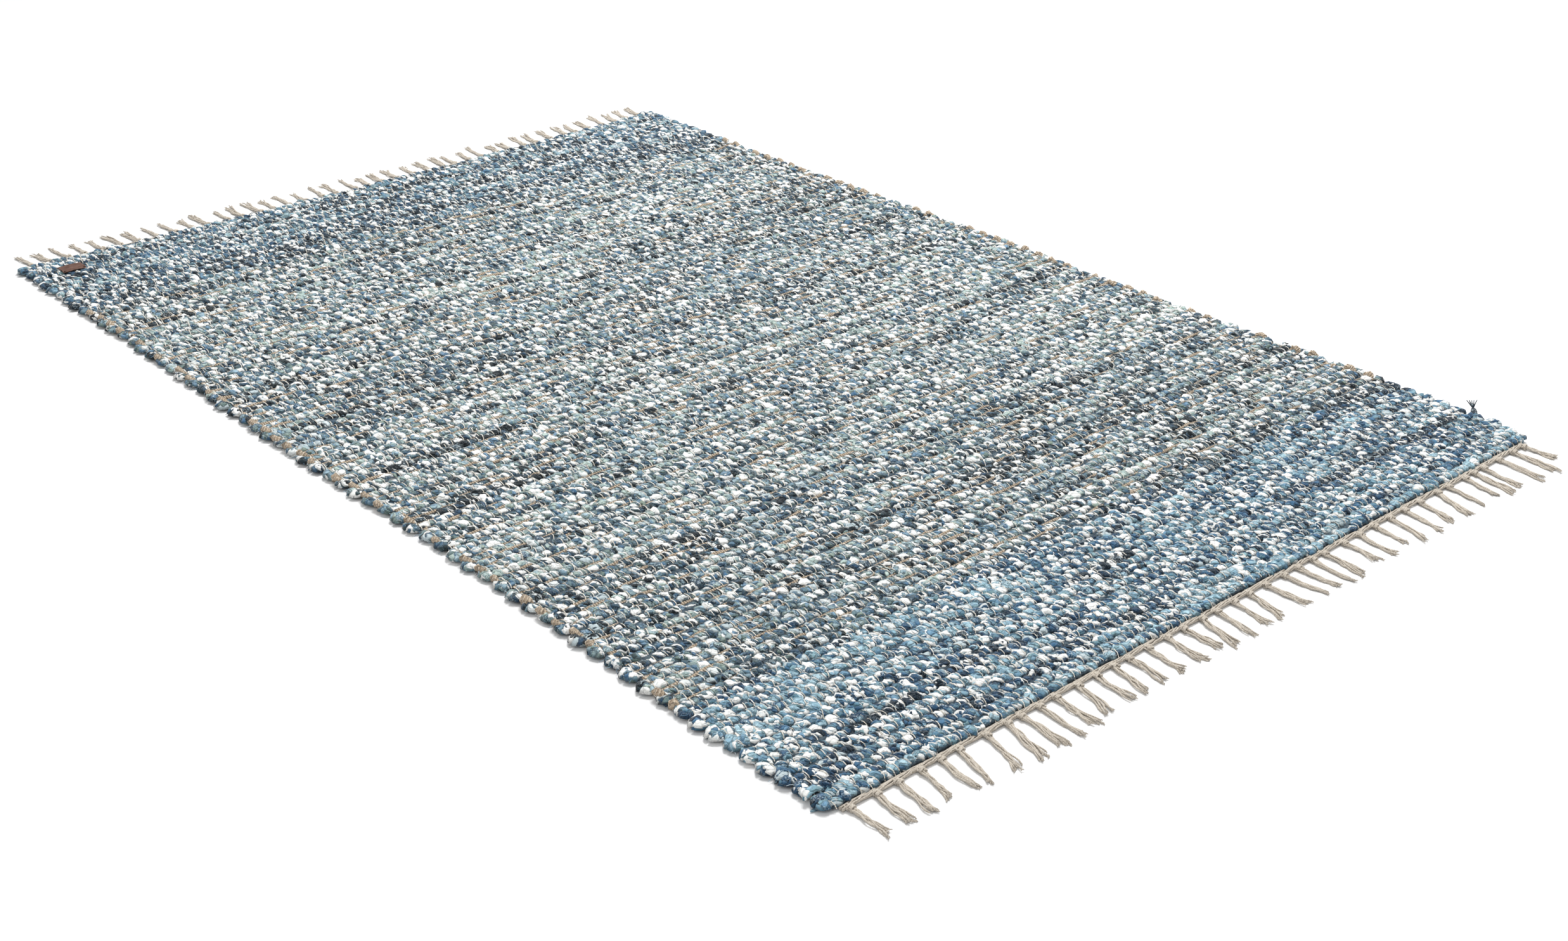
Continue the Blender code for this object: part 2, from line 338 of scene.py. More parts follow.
# Streaks along the picks, measured from the near end and the left, with how much lighter the rags are there
# and how much more of them is white
STREAKS = (
    # along, from_x, to_x, tone, white
    (0.008, -0.02, 0.03, -0.65, 0.0),
    (0.010, 0.00, 1.57, 0.24, -0.22),
    (0.105, 0.10, 0.62, -0.28, 0.0),
    (0.120, 0.95, 1.57, -0.28, 0.0),
    (0.190, 0.00, 0.85, 0.28, -0.08),
    (0.225, 0.00, 0.60, 0.20, -0.20),
    (0.225, 1.10, 1.57, 0.10, -0.18),
    (0.930, 1.35, 1.57, 0.42, 0.0),
    (1.016, 1.15, 1.57, -0.45, 0.0),
    (1.035, 0.78, 1.57, 0.34, 0.0),
    (1.129, 0.00, 0.36, -0.45, 0.0),
    (1.205, 0.60, 1.24, -0.26, 0.0),
    (1.362, 0.06, 0.54, -0.42, 0.0),
    (1.370, 1.18, 1.57, 0.38, 0.0),
    (1.587, 1.08, 1.57, -0.50, 0.0),
    (1.700, 0.02, 1.12, 0.52, 0.0),
    (1.737, 1.45, 1.57, -0.50, 0.0),
    (2.055, 0.35, 1.05, -0.22, 0.0),
    (2.190, 0.00, 0.50, 0.28, -0.12),
    (2.290, 0.30, 1.57, 0.12, -0.14),
)
STREAK_REACH = 0.011
FAR_ZONE = 0.4
FAR_TONE = -0.18
STREAK_STRENGTH = 1.25


def tone_at(pick, x):
    """How light the rags of a pick are at a place, from picks at random, slow drifts and the streaks, and
    how much more of them is white there."""
    from_left = x - left_line[pick]
    tone = pick_tone[pick] + 0.12 * np.sin(from_left * drift_rate[pick] + drift_start[pick])
    tone = tone + FAR_TONE * (pick >= middle_end)
    tone = tone + blob_tone[pick, (np.clip(from_left / cloth_width, 0.0, 0.99) * WARP_PAIRS).astype(int)]
    white = np.zeros_like(tone)
    for along, from_x, to_x, change, whiter in STREAKS:
        near = np.exp(-(((pick_middle[pick] - along) / STREAK_REACH) ** 2))
        inside = 1 / (1 + np.exp(-(from_left - from_x) * 40)) / (1 + np.exp((from_left - to_x) * 40))
        tone = tone + STREAK_STRENGTH * change * near * inside
        white = white + whiter * near * inside
    return tone, white


pick_tone = rng.normal(0.0, 0.11, picks)
blob_tone = rng.normal(0.0, BLOB_TONE, (picks, WARP_PAIRS))
drift_rate = rng.uniform(3.0, 7.0, picks)
drift_start = rng.uniform(0.0, 2 * np.pi, picks)
in_middle = (np.arange(picks) >= END_PICKS) & (np.arange(picks) < middle_end)
cloth_zone = np.where(in_middle, 1.0, np.where(np.arange(picks) < END_PICKS, 0.0, FAR_ZONE))


def lay_tube(lines, half_width, half_height, angles, lowest=0.0002):
    """Rings of points round lines, pressed flat on the floor: an array of tubes, rings, angles and places."""
    ahead = np.gradient(lines, axis=1)
    ahead /= np.linalg.norm(ahead, axis=2, keepdims=True)
    left = np.cross([0.0, 0.0, 1.0], ahead)
    left /= np.maximum(np.linalg.norm(left, axis=2, keepdims=True), 1e-9)
    over = np.cross(ahead, left)
    aside = (half_width * np.sin(angles))[..., None] * left[:, :, None]
    upward = (half_height * np.cos(angles))[..., None] * over[:, :, None]
    rounds = lines[:, :, None] + aside + upward
    rounds[..., 2] = np.maximum(rounds[..., 2], lowest)
    return rounds


def metres_along(lines):
    """How far along its own line each point lies."""
    step = np.linalg.norm(np.diff(lines, axis=1), axis=2)
    return np.concatenate([np.zeros((len(lines), 1)), np.cumsum(step, axis=1)], axis=1)


def tube_faces(tubes, rings, sides):
    """The skins of a number of like tubes, and a cap on each of their ends."""
    tube = (np.arange(tubes) * rings * sides)[:, None, None]
    ring = (np.arange(rings - 1) * sides)[None, :, None]
    side = np.arange(sides)
    after = (side + 1) % sides
    first = tube + ring
    quads = np.stack([first + side, first + sides + side, first + sides + after, first + after], -1)
    starts = tube[:, 0] + side
    ends = tube[:, 0] + (rings - 1) * sides + side[::-1]
    return quads.reshape(-1, 4), np.concatenate([starts, ends])


def tube_corners(values):
    """A value for each corner of the tubes' faces, from one for each ring and each angle with the first
    angle repeated at the end, so that nothing wraps round at the seam."""
    skins = np.stack([values[:, :-1, :-1], values[:, 1:, :-1], values[:, 1:, 1:], values[:, :-1, 1:]], -1)
    starts = values[:, 0, :-1]
    ends = values[:, -1, :-1][:, ::-1]
    return np.concatenate([skins.reshape(-1), starts.reshape(-1), ends.reshape(-1)])


def make_tubes(name, rounds, finish, metres, turns=None, cell_columns=1, tone=None):
    """One piece of many tubes. Each has a lay map of metres along and turns round, even where none are
    given, and a bake map in which every tube has its own cell."""
    tubes, rings, sides, _ = rounds.shape
    if turns is None:
        turns = np.broadcast_to(np.linspace(0.0, 1.0, sides + 1), (tubes, rings, sides + 1))
    quads, caps = tube_faces(tubes, rings, sides)
    piece = make_piece(name, rounds.reshape(-1, 3), quads.tolist() + caps.tolist(), finish)
    mesh = piece.data
    metres = np.broadcast_to(metres[..., None], (tubes, rings, sides + 1))
    put_map(mesh, "lay", tube_corners(metres), tube_corners(turns))
    cell_rows = -(-tubes // cell_columns)
    cell = np.arange(tubes)[:, None, None]
    ring_share = np.linspace(0.02, 0.98, rings)[None, :, None] + np.zeros((tubes, 1, sides + 1))
    side_share = np.linspace(0.04, 0.96, sides + 1)[None, None, :] + np.zeros((tubes, rings, 1))
    across = (cell % cell_columns + ring_share) / cell_columns
    upward = (cell // cell_columns + side_share) / cell_rows
    put_map(mesh, "OFBake", tube_corners(across), tube_corners(upward))
    if tone is not None:
        put_number(mesh, "tone", np.broadcast_to(tone[..., None], (tubes, rings, sides)))
    return piece


def put_map(mesh, name, first, second):
    """A map of two numbers for each corner of the faces."""
    layer = mesh.uv_layers.new(name=name)
    layer.data.foreach_set("uv", np.stack([first, second], -1).astype(np.float32).reshape(-1))


def put_number(mesh, name, values):
    """A number for each point."""
    attribute = mesh.attributes.new(name, "FLOAT", "POINT")
    attribute.data.foreach_set("value", np.ascontiguousarray(values, np.float32).reshape(-1))


warp_room = WARP_PAIRS * RINGS_PER_WARP
blob_size = 1 + SWELL_VARIES * rng.standard_normal((picks, WARP_PAIRS + 2))
blob_aside = SWELL_ASIDE * rng.standard_normal((picks, WARP_PAIRS + 2))
blob_up = SWELL_UP * rng.standard_normal((picks, WARP_PAIRS + 2))
loose_at = rng.uniform(0.0, 1.0, (picks, WARP_PAIRS + 2)) < LOOSE_PINCHES
turn_size = 1 + TURN_VARIES * rng.standard_normal((picks + 1, 2))
wander_rate = rng.uniform(14.0, 26.0, picks)
wander_start = rng.uniform(0.0, 2 * np.pi, picks)
warp_number = np.arange(WARP_PAIRS + 1)
warp_strays = WARP_STRAYS * rng.standard_normal(WARP_PAIRS + 1)
warp_strays = warp_strays + WARP_STRAYS_OWN * rng.standard_normal((picks, WARP_PAIRS + 1))
warp_strays *= np.sin(np.pi * warp_number / WARP_PAIRS) > 0.01


def rag_line(pick):
    """The middle line of one pick with half of each turn, in the way it was thrown, with the width and
    the height of the rag at each ring as shares of its usual ones, and which rings are pinched."""
    shift = RINGS_PER_WARP // 2 * (pick % 2) * (not in_middle[pick])
    ring = np.arange(warp_room + 1)
    inner_left = left_line[pick] + TURN_ROOM
    inner_right = right_line[pick] - TURN_ROOM
    across = ring / RINGS_PER_WARP
    across = across + np.interp(across, warp_number, warp_strays[pick])
    x = inner_left + across / WARP_PAIRS * (inner_right - inner_left)
    phase = (ring + shift) % RINGS_PER_WARP
    blob = (ring + shift) // RINGS_PER_WARP
    before = np.maximum(blob - 1, 0)
    pinched = phase == 0
    size, aside = (
        np.where(pinched, (swell[pick, blob] + swell[pick, before]) / 2, swell[pick, blob])
        for swell in (blob_size, blob_aside)
    )
    up = np.where(pinched, 0.0, blob_up[pick, blob])
    wander = PICK_WANDER * np.sin(x * wander_rate[pick] + wander_start[pick])
    y = lie(x, pick_middle[pick] + aside + wander)
    line = np.stack([x, y, CLOTH_MIDDLE + up], -1)
    ends = [half_turn(pick, side) for side in (-1, 1)]
    line = np.concatenate([ends[0][::-1], line, ends[1]])
    loose = pinched & loose_at[pick, blob]
    wide = size * np.where(loose, LOOSE_WIDTH, PINCH_WIDTHS[phase])
    high = size * np.where(loose, LOOSE_HEIGHT, PINCH_HEIGHTS[phase])
    turned = [TURN_SWELL * turn_size[turn_above(pick, side), max(side, 0)] for side in (-1, 1)]
    turned = [np.linspace(TURN_FROM, swell, TURN_RINGS) for swell in turned]
    wide = np.concatenate([turned[0][::-1], wide, turned[1]])
    high = np.concatenate([np.minimum(turned[0][::-1], 1.0), high, np.minimum(turned[1], 1.0)])
    pinched = np.concatenate([np.zeros(TURN_RINGS, bool), pinched, np.zeros(TURN_RINGS, bool)])
    made = (line, wide, high, pinched)
    return tuple(part[::-1] for part in made) if pick % 2 == 0 else made


def turn_above(pick, side):
    """The number of a pick's turn on one side: that of the upper of the two picks that it joins."""
    return pick + 1 if (pick % 2 == 0) == (side < 0) else pick


def half_turn(pick, side):
    """From the straight of a pick to the middle of its turn on one side, where the next pick goes on. The
    first and last picks end in a tucked-in tail there."""
    other = pick + 1 if turn_above(pick, side) > pick else pick - 1
    edge = (left_line if side < 0 else right_line)[pick] - side * TURN_ROOM
    half = TURN_HALF * turn_size[turn_above(pick, side), max(side, 0)]
    angle = np.linspace(0.0, np.pi / 2, TURN_RINGS + 1)[1:]
    between = pick_middle[pick]
    reach = edge + side * (TURN_ROOM - half * 0.5)
    if 0 <= other < picks:
        between = (pick_middle[pick] + pick_middle[other]) / 2
        reach = selvedge_at(between, side) - side * half * 0.95
    x = edge + (reach - edge) * np.sin(angle)
    along = between + (pick_middle[pick] - between) * np.cos(angle)
    return np.stack([x, lie(x, along), CLOTH_MIDDLE + 0 * x], -1)


rag_finish = new_finish("twisted_rags", 0.92, 0.12)


def number(finish, name):
    """One of the numbers that the points carry."""
    return node(finish, "Attribute", attribute_name=name).outputs["Fac"]


def rise(finish, value, low, high):
    """A soft step from 0 to 1 between two values, or back where the first is the higher."""
    return node(finish, "MapRange", value, low, high, interpolation_type="SMOOTHSTEP").outputs[0]


def paint_rags():
    """Each strip keeps its cloth for a run, then another is twisted in. Torn edges fray into pale and dark
    threads, folds run along the strip, and painted shade darkens the creases between strips, the fold lines
    and the low sides of the tube, with painted light and shade on the folds and facets."""
    f = rag_finish

    def times(value, by):
        return sums(f, "MULTIPLY", value, by)

    def scaled(value, by, start):
        return sums(f, "MULTIPLY_ADD", value, by, start)

    def apart(first, second):
        return sums(f, "ABSOLUTE", sums(f, "SUBTRACT", first, second))

    def vectors(operation, *values):
        return node(f, "VectorMath", *values, operation=operation)

    lay = node(f, "UVMap", uv_map="lay").outputs[0]
    metres, turns = node(f, "SeparateXYZ", lay).outputs[:2]

    def spot(along, round_it, layer=0.0):
        return node(f, "CombineXYZ", times(metres, along), times(turns, round_it), layer).outputs[0]

    place = place_on(f)
    ragged = node(f, "TexNoise", place, None, 190.0, 2.0, 0.6).outputs["Color"]
    torn = vectors("MULTIPLY_ADD", ragged, (TORN, TORN, TORN), place).outputs[0]
    shard = node(f, "TexVoronoi", torn, None, SHARDS_PER_METRE, feature="F1")
    facet, shard_turn = node(f, "SeparateXYZ", shard.outputs["Color"]).outputs[:2]
    fold_line = node(f, "TexVoronoi", torn, None, SHARDS_PER_METRE, feature="DISTANCE_TO_EDGE").outputs[0]
    from_middle = vectors("SUBTRACT", torn, shard.outputs["Position"]).outputs[0]
    leaning = vectors("SUBTRACT", shard.outputs["Color"], (0.5, 0.5, 0.5)).outputs[0]
    tilt = vectors("DOT_PRODUCT", from_middle, leaning).outputs["Value"]
    turned = scaled(noise(f, spot(38.0, 1.3), 1.0, 1.0), 0.50, turns)
    turned = scaled(shard_turn, SHARD_TURN, turned)
    share = sums(f, "FRACT", turned)
    tone = number(f, "tone")
    white_to = scaled(tone, WHITE_BY_TONE, WHITE_TO)
    white_to = sums(f, "MAXIMUM", sums(f, "ADD", white_to, number(f, "white")), 0.06)
    is_white = sums(f, "LESS_THAN", share, white_to)
    is_third = sums(f, "GREATER_THAN", share, THIRD_FROM)
    strip = sums(f, "SUBTRACT", sums(f, "ADD", is_third, 1.0), is_white)
    to_seam = sums(f, "MINIMUM", share, sums(f, "SUBTRACT", 1.0, share))
    crease = sums(f, "MINIMUM", apart(share, white_to), apart(share, THIRD_FROM))
    crease = sums(f, "MINIMUM", crease, to_seam)
    runs = sums(f, "DIVIDE", metres, STRIP_RUN)
    run = sums(f, "FLOOR", sums(f, "ADD", runs, times(strip, 0.37)))
    seed = node(f, "CombineXYZ", strip, run, 4.0).outputs[0]
    chance = node(f, "TexWhiteNoise", seed, noise_dimensions="3D").outputs[0]
    drift = noise(f, spot(34.0, 1.0, 9.0), 1.0, 2.0)
    darkness = sums(f, "SUBTRACT", scaled(chance, 0.84, 0.08), tone)
    darkness = sums(f, "ADD", darkness, scaled(drift, 0.20, -0.10))
    darkness = sums(f, "ADD", darkness, scaled(facet, SHARD_TONE, -SHARD_TONE / 2), clamp=True)
    middle_cloth = steps(f, darkness, [
        (0.0, "BACBC3"), (0.11, "99B5C5"), (0.23, "93A192"), (0.35, "7295B2"), (0.47, "6E8179"),
        (0.57, "4A7192"), (0.67, "4D5D5F"), (0.76, "2D4B66"), (0.85, "2A3638"), (0.93, "1C252B"),
    ], True)
    end_cloth = steps(f, darkness, [
        (0.0, "ABCBD7"), (0.10, "90B5C8"), (0.21, "83A6AD"), (0.32, "6D95B1"), (0.43, "598090"),
        (0.53, "487293"), (0.63, "396080"), (0.74, "2A4C6A"), (0.84, "1E3850"), (0.93, "182936"),
    ], True)
    denim = blend_colours(f, number(f, "zone"), end_cloth, middle_cloth)
    whiteness = sums(f, "ADD", chance, times(tone, 0.2))
    white = steps(f, whiteness, [(0.0, "B5C3C7"), (0.08, "D9DEDD"), (0.18, "E9EAE7"), (0.5, "F3F3F0")])
    cloth = blend_colours(f, is_white, denim, white)
    threads = noise(f, place, 420.0, 2.0, 0.6)
    stray = apart(noise(f, place, 170.0, 1.0), 0.5)
    frayed = rise(f, noise(f, spot(32.0, 1.8, 7.0), 1.0, 2.0), 0.53, 0.61)
    frayed = sums(f, "MAXIMUM", frayed, times(rise(f, crease, 0.05, 0.015), 0.35))
    pale = times(rise(f, threads, 0.54, 0.62), frayed)
    loose_thread = times(rise(f, stray, 0.016, 0.008), scaled(frayed, 0.8, 0.2))
    pale = sums(f, "MAXIMUM", pale, loose_thread)
    dark = times(rise(f, threads, 0.45, 0.37), frayed)
    dark = times(dark, scaled(is_white, -0.78, 0.85))
    cloth = blend_colours(f, times(pale, 0.75), cloth, srgb("C9D7DC"))
    cloth = blend_colours(f, dark, cloth, srgb("203242"))
    # Painted light and shade: the folds and the facets lighten and darken the colour unevenly, as if each
    # caught the lamps its own way. They also give the relief below.
    folds = noise(f, torn, 110.0, 2.0, 0.55)
    shade = scaled(folds, 0.30, 0.76)
    shade = scaled(facet, 0.16, shade)
    grain = noise(f, place, 850.0, 1.0)
    shades = (
        # what darkens the colour, by how much, the darkest: the denim's fine speckle, then painted shade in
        # the creases between strips, along the fold lines and low on the tube
        (rise(f, grain, 0.35, 0.65), 0.22, 0.88),
        (rise(f, crease, 0.0, 0.022), 0.55, 0.45),
        (rise(f, fold_line, 0.0, 0.04), 0.14, 0.86),
        (number(f, "depth"), 0.64, 0.36),
    )
    for value, by, darkest in shades:
        shade = times(shade, scaled(value, by, darkest))
    # White strips take less of the painted shade.
    shade = scaled(is_white, scaled(shade, -0.38, 0.38), shade)
    shade = sums(f, "MINIMUM", shade, 1.0)
    # The painted shade falls faster in red than in blue, so it turns bluer as it deepens, except on white
    # strips, where it stays grey. Then it darkens the colour.
    powers = [sums(f, "POWER", shade, power) for power in SHADE_BLUE_POWERS]
    blue_shade = node(f, "CombineXYZ", *powers).outputs[0]
    blue_shade = blend_colours(f, is_white, blue_shade, shade)
    cloth = blend_colours(f, 1.0, cloth, blue_shade, "MULTIPLY")
    height = times(rise(f, crease, 0.0, 0.10), 1.3)
    height = scaled(folds, 0.6, height)
    height = scaled(facet, 0.35, height)
    height = scaled(tilt, 260.0, height)
    height = scaled(rise(f, fold_line, 0.0, 0.20), 0.55, height)
    height = scaled(threads, scaled(frayed, 0.25, 0.03), height)
    height = times(height, scaled(is_white, -0.55, 1.0))
    dress(f, cloth, height, RAG_RELIEF)


paint_rags()


def weave_rags(name, first, last):
    """The picks from one number up to another as one piece, thrown to and fro."""
    numbers = np.arange(first, last)
    lines, wide, high, pinched = map(np.array, zip(*(rag_line(pick) for pick in numbers)))
    count, rings = wide.shape
    sides = len(RAG_ANGLES)
    metres = metres_along(lines) + (numbers * cloth_width * PICK_LENGTH)[:, None]
    rate = rng.standard_normal((count, rings // 12 + 3))
    rate = np.array([np.interp(np.arange(rings) / 12, np.arange(rate.shape[1]), row) for row in rate])
    rate = 1 + TWIST_VARIES * rate
    jumps = np.zeros((count, rings))
    jumps[:, 1:] = pinched[:, :-1] * rng.uniform(*TURN_AT_PINCH, (count, rings - 1))
    twisted = np.cumsum(rate * np.gradient(metres, axis=1) / TWIST_PITCH + jumps, axis=1)
    twisted += rng.uniform(0.0, 1.0, (count, 1))
    if first == 0:
        twisted[0] += TAIL_TURN - twisted[0, -2]
    angle_share = np.r_[RAG_ANGLES, RAG_ANGLES[0] + 2 * np.pi] / (2 * np.pi)
    turns = twisted[..., None] + angle_share
    ridges = RIDGE * np.cos(6 * np.pi * turns[..., :-1])
    lobes = 1 + LUMP * rng.standard_normal((count, rings, sides)) - ridges
    half_width = np.where(in_middle[numbers], RAG_HALF_WIDTH_MIDDLE, RAG_HALF_WIDTH_END)[:, None]
    half_width = (half_width * wide)[..., None] * lobes
    half_height = (RAG_HALF_HEIGHT * high)[..., None] * lobes
    rounds = lay_tube(lines, half_width, half_height, RAG_ANGLES, 0.0)
    tones = np.array([tone_at(pick, line[:, 0]) for pick, line in zip(numbers, lines)])
    piece = make_tubes(name, rounds, rag_finish, metres, turns, tone=tones[:, 0])
    put_number(piece.data, "white", np.broadcast_to(tones[:, 1, :, None], rounds.shape[:3]))
    put_number(piece.data, "zone", np.broadcast_to(cloth_zone[numbers, None, None], rounds.shape[:3]))
    # Painted shade: the depth number darkens the rag's colour the lower a point lies, towards the grooves and
    # the floor.
    put_number(piece.data, "depth", np.clip((rounds[..., 2] - SHADE_FROM) / SHADE_REACH, 0.0, 1.0))
    put_in_cloth(piece)
    return piece


third = MIDDLE_PICKS // 3
RAG_PIECES = (
    # name, first pick, pick after the last
    ("rags_near_end", 0, END_PICKS),
    ("rags_middle_near", END_PICKS, END_PICKS + third),
    ("rags_middle", END_PICKS + third, END_PICKS + 2 * third),
    ("rags_middle_far", END_PICKS + 2 * third, middle_end),
    ("rags_far_end", middle_end, picks),
)
rag_pieces = [weave_rags(*row) for row in RAG_PIECES]

# The warp. Thin unbleached cotton yarns run the whole length and show as short arcs where they cross over
# a rag pick: on every other place in turn at the ends, and in line over the middle, where jute takes turns.
WARP_HALF_WIDTH = 0.00074
WARP_VARIES = 0.0010
WARP_OVER = 0.0014
WARP_LEAN = 0.0020
WARP_SWINGS = 0.0012
WARP_HIDDEN = -0.0010
WARP_ROWS = (-1.0, -0.62, 0.0, 0.62, 1.0)
WARP_SAGS = (None, 0.0016, 0.0, 0.0016, None)
WARP_REACH = 0.57
WARP_DIVE = 0.0052
WARP_CREST = 0.0056
ARC_CELLS = 120
ARC_IN = 0.06
ARC_METRES = 0.02
ARC_TURN = 0.3


def spun(finish, along, round_it):
    """The ripple of a yarn's plies, from -1 to 1, and its metres along and turns round."""
    lay = node(finish, "UVMap", uv_map="lay").outputs[0]
    metres, turns = node(finish, "SeparateXYZ", lay).outputs[:2]
    twist = sums(finish, "MULTIPLY_ADD", metres, along, sums(finish, "MULTIPLY", turns, round_it))
    return sums(finish, "SINE", twist), metres, turns


warp_finish = new_finish("cotton_warp", 0.85, 0.1)
warp_ply, _, _ = spun(warp_finish, 2600.0, 6.0)
warp_cloud = noise(warp_finish, place_on(warp_finish), 60.0)
warp_tint = steps(warp_finish, warp_cloud, [(0.3, "B2ADA1"), (0.5, "CCC7BC"), (0.7, "E2DED5")], True)
dress(warp_finish, warp_tint, warp_ply, 0.00015)

crossings = []
for pick in range(picks):
    pick_line, _, pick_high, pinched = rag_line(pick)
    crossings.append((pick_line[pinched], pick_high[pinched], np.full(pinched.sum(), pick)))
over_place, over_height, over_pick = map(np.concatenate, zip(*crossings))
lifted = rng.normal(0.0, WARP_VARIES, len(over_place))
shows = lifted > WARP_HIDDEN
over_place, lifted = over_place[shows], lifted[shows]
over_height, over_pick = over_height[shows] * RAG_HALF_HEIGHT, over_pick[shows]
arcs = len(over_place)
arc_reach = pitches[over_pick] * WARP_REACH
lean = rng.normal(0.0, WARP_LEAN, arcs)
swing = rng.normal(0.0, WARP_SWINGS, arcs)
arc_points = np.zeros((arcs, len(WARP_ROWS), 2, 3))
for row, side in enumerate(WARP_ROWS):
    for column, out in enumerate((-1.0, 1.0)):
        x = over_place[:, 0] + lean * side + swing * (1 - side * side) + out * WARP_HALF_WIDTH
        y = over_place[:, 1] + side * arc_reach
        z = over_place[:, 2] + np.minimum(over_height, WARP_CREST) + WARP_OVER + lifted
        z = np.full(arcs, WARP_DIVE) if WARP_SAGS[row] is None else z - WARP_SAGS[row]
        arc_points[:, row, column] = np.stack([x, y, z], -1)
arc_spans = len(WARP_ROWS) - 1
arc_at = (np.arange(arcs) * len(WARP_ROWS) * 2)[:, None] + np.arange(arc_spans) * 2
arc_faces = np.stack([arc_at, arc_at + 1, arc_at + 3, arc_at + 2], -1).reshape(-1, 4)
warp = make_piece("warp_over_picks", arc_points.reshape(-1, 3), arc_faces.tolist(), warp_finish)
arc_across = np.broadcast_to([0.0, 1.0, 1.0, 0.0], (arcs, arc_spans, 4))
arc_along = (np.arange(arc_spans)[:, None] + [0.0, 0.0, 1.0, 1.0]) / arc_spans + 0 * arc_across
put_map(warp.data, "lay", arc_along * ARC_METRES, arc_across * ARC_TURN)
arc_number = np.arange(arcs)[:, None, None]
arc_column = (arc_number % ARC_CELLS + ARC_IN + (1 - 2 * ARC_IN) * arc_across) / ARC_CELLS
arc_row = (arc_number // ARC_CELLS + ARC_IN + (1 - 2 * ARC_IN) * arc_along) / ARC_CELLS
put_map(warp.data, "OFBake", arc_column, arc_row)
put_in_cloth(warp)

# The jute. Over the middle a soft beige jute yarn lies in the groove after each rag pick, half hidden under
# the swelling rags, and at the selvedges it climbs over the end of a rag to its next groove as a fat loop.
JUTE_RADIUS = 0.0033
JUTE_FAT = 0.0055
JUTE_HEIGHT = 0.0042
JUTE_RISES = 0.0046
JUTE_SHOWS = (0.28, 0.62)
JUTE_SHARES = (-0.4, 1.1)
JUTE_STRETCH = 0.024
JUTE_FROM_TO = (-0.85, 0.86)
JUTE_OVER = 0.0118
JUTE_STEPS = 60
JUTE_TURN_RINGS = 5
JUTE_HIDDEN = 0.25
JUTE_DEEP = 0.0150
JUTE_SHALLOW = 0.0055
JUTE_BELLY = 0.0016
JUTE_APEX = 0.37
JUTE_LENGTH = 1.1
JUTE_VARIES = 0.22
JUTE_COLOURS = [(0.28, "6A5D50"), (0.42, "A08E79"), (0.56, "C5B39C"), (0.74, "E9DDCA")]
YARN_ANGLES = np.radians([0.0, 72.0, 144.0, 216.0, 288.0])


def paint_yarn(finish, colours, along, round_it, layer, ply_light_and_shade, ply_height, depth):
    """A plied yarn: its fibres run along it in the colours given, its plies stand up, and painted
    highlight and shade make each ply lighter on its crest and darker between plies.
    """
    ply, metres, turns = spun(finish, 1500.0, 12.57)
    metres = sums(finish, "MULTIPLY", metres, along)
    turns = sums(finish, "MULTIPLY", turns, round_it)
    fibre = noise(finish, node(finish, "CombineXYZ", metres, turns, layer).outputs[0], 1.0, 3.0, 0.6)
    # Painted highlight and shade: the ply ripple lightens the colour on each ply's crest and darkens it
    # between plies.
    tint = sums(finish, "MULTIPLY_ADD", ply, ply_light_and_shade, fibre)
    height = sums(finish, "MULTIPLY_ADD", ply, ply_height, fibre)
    dress(finish, steps(finish, tint, colours, True), height, depth)


jute_finish = new_finish("jute_yarn", 0.95, 0.15)
paint_yarn(jute_finish, JUTE_COLOURS, 420.0, 9.0, 0.0, 0.06, 0.5, 0.0024)
jute_draw = rng.uniform(0.0, 1.0, (picks, 2))
jute_rise_at = np.arange(*JUTE_FROM_TO, JUTE_STRETCH)
jute_rise = rng.normal(*JUTE_SHOWS, (picks, len(jute_rise_at)))


def jute_line(pick):
    """The groove after a rag pick, with half of a loop on each side."""
    share = np.linspace(0.0, 1.0, JUTE_STEPS + 1)
    groove = pick_start[pick] + pitches[pick]
    edge_left = np.interp(groove, pick_middle, left_line) + TURN_ROOM
    edge_right = np.interp(groove, pick_middle, right_line) - TURN_ROOM
    x = edge_left + share * (edge_right - edge_left)
    along = groove + 0.0010 * np.sin(x * 17 + pick * 1.3) + 0.0007 * np.sin(x * 61 + pick)
    z = JUTE_HEIGHT + JUTE_RISES * np.interp(x, jute_rise_at, np.clip(jute_rise[pick], *JUTE_SHARES))
    line = np.stack([x, lie(x, along), z], -1)
    ends = [jute_half_loop(pick, side, groove, edge) for side, edge in ((-1, edge_left), (1, edge_right))]
    line = np.concatenate([ends[0][::-1], line, ends[1]])
    return line[::-1] if pick % 2 == 0 else line


def jute_half_loop(pick, side, groove, edge):
    """Out of the groove, up and over the end of the rag pick beside it, to the middle of that pick."""
    over = turn_above(pick, side)
    drawn = jute_draw[over, max(side, 0)]
    angle = np.linspace(0.0, np.pi / 2, JUTE_TURN_RINGS + 1)[1:]
    hidden = drawn < JUTE_HIDDEN
    inside = JUTE_DEEP if hidden else JUTE_SHALLOW - JUTE_SHALLOW * drawn
    to_notch = 1 if (over % 2 == 0) != (side < 0) else -1
    apex = pick_middle[over] + to_notch * JUTE_APEX * MIDDLE_PITCH
    reach = selvedge_at(apex, side) - side * inside
    x = edge + (reach - edge) * np.sin(angle)
    along = apex + (groove - apex) * np.cos(angle)
    top = JUTE_HEIGHT if hidden else JUTE_OVER
    z = JUTE_HEIGHT + (top - JUTE_HEIGHT) * np.sin(angle) ** 2 + JUTE_BELLY * np.sin(2 * angle)
    return np.stack([x, lie(x, along), z], -1)


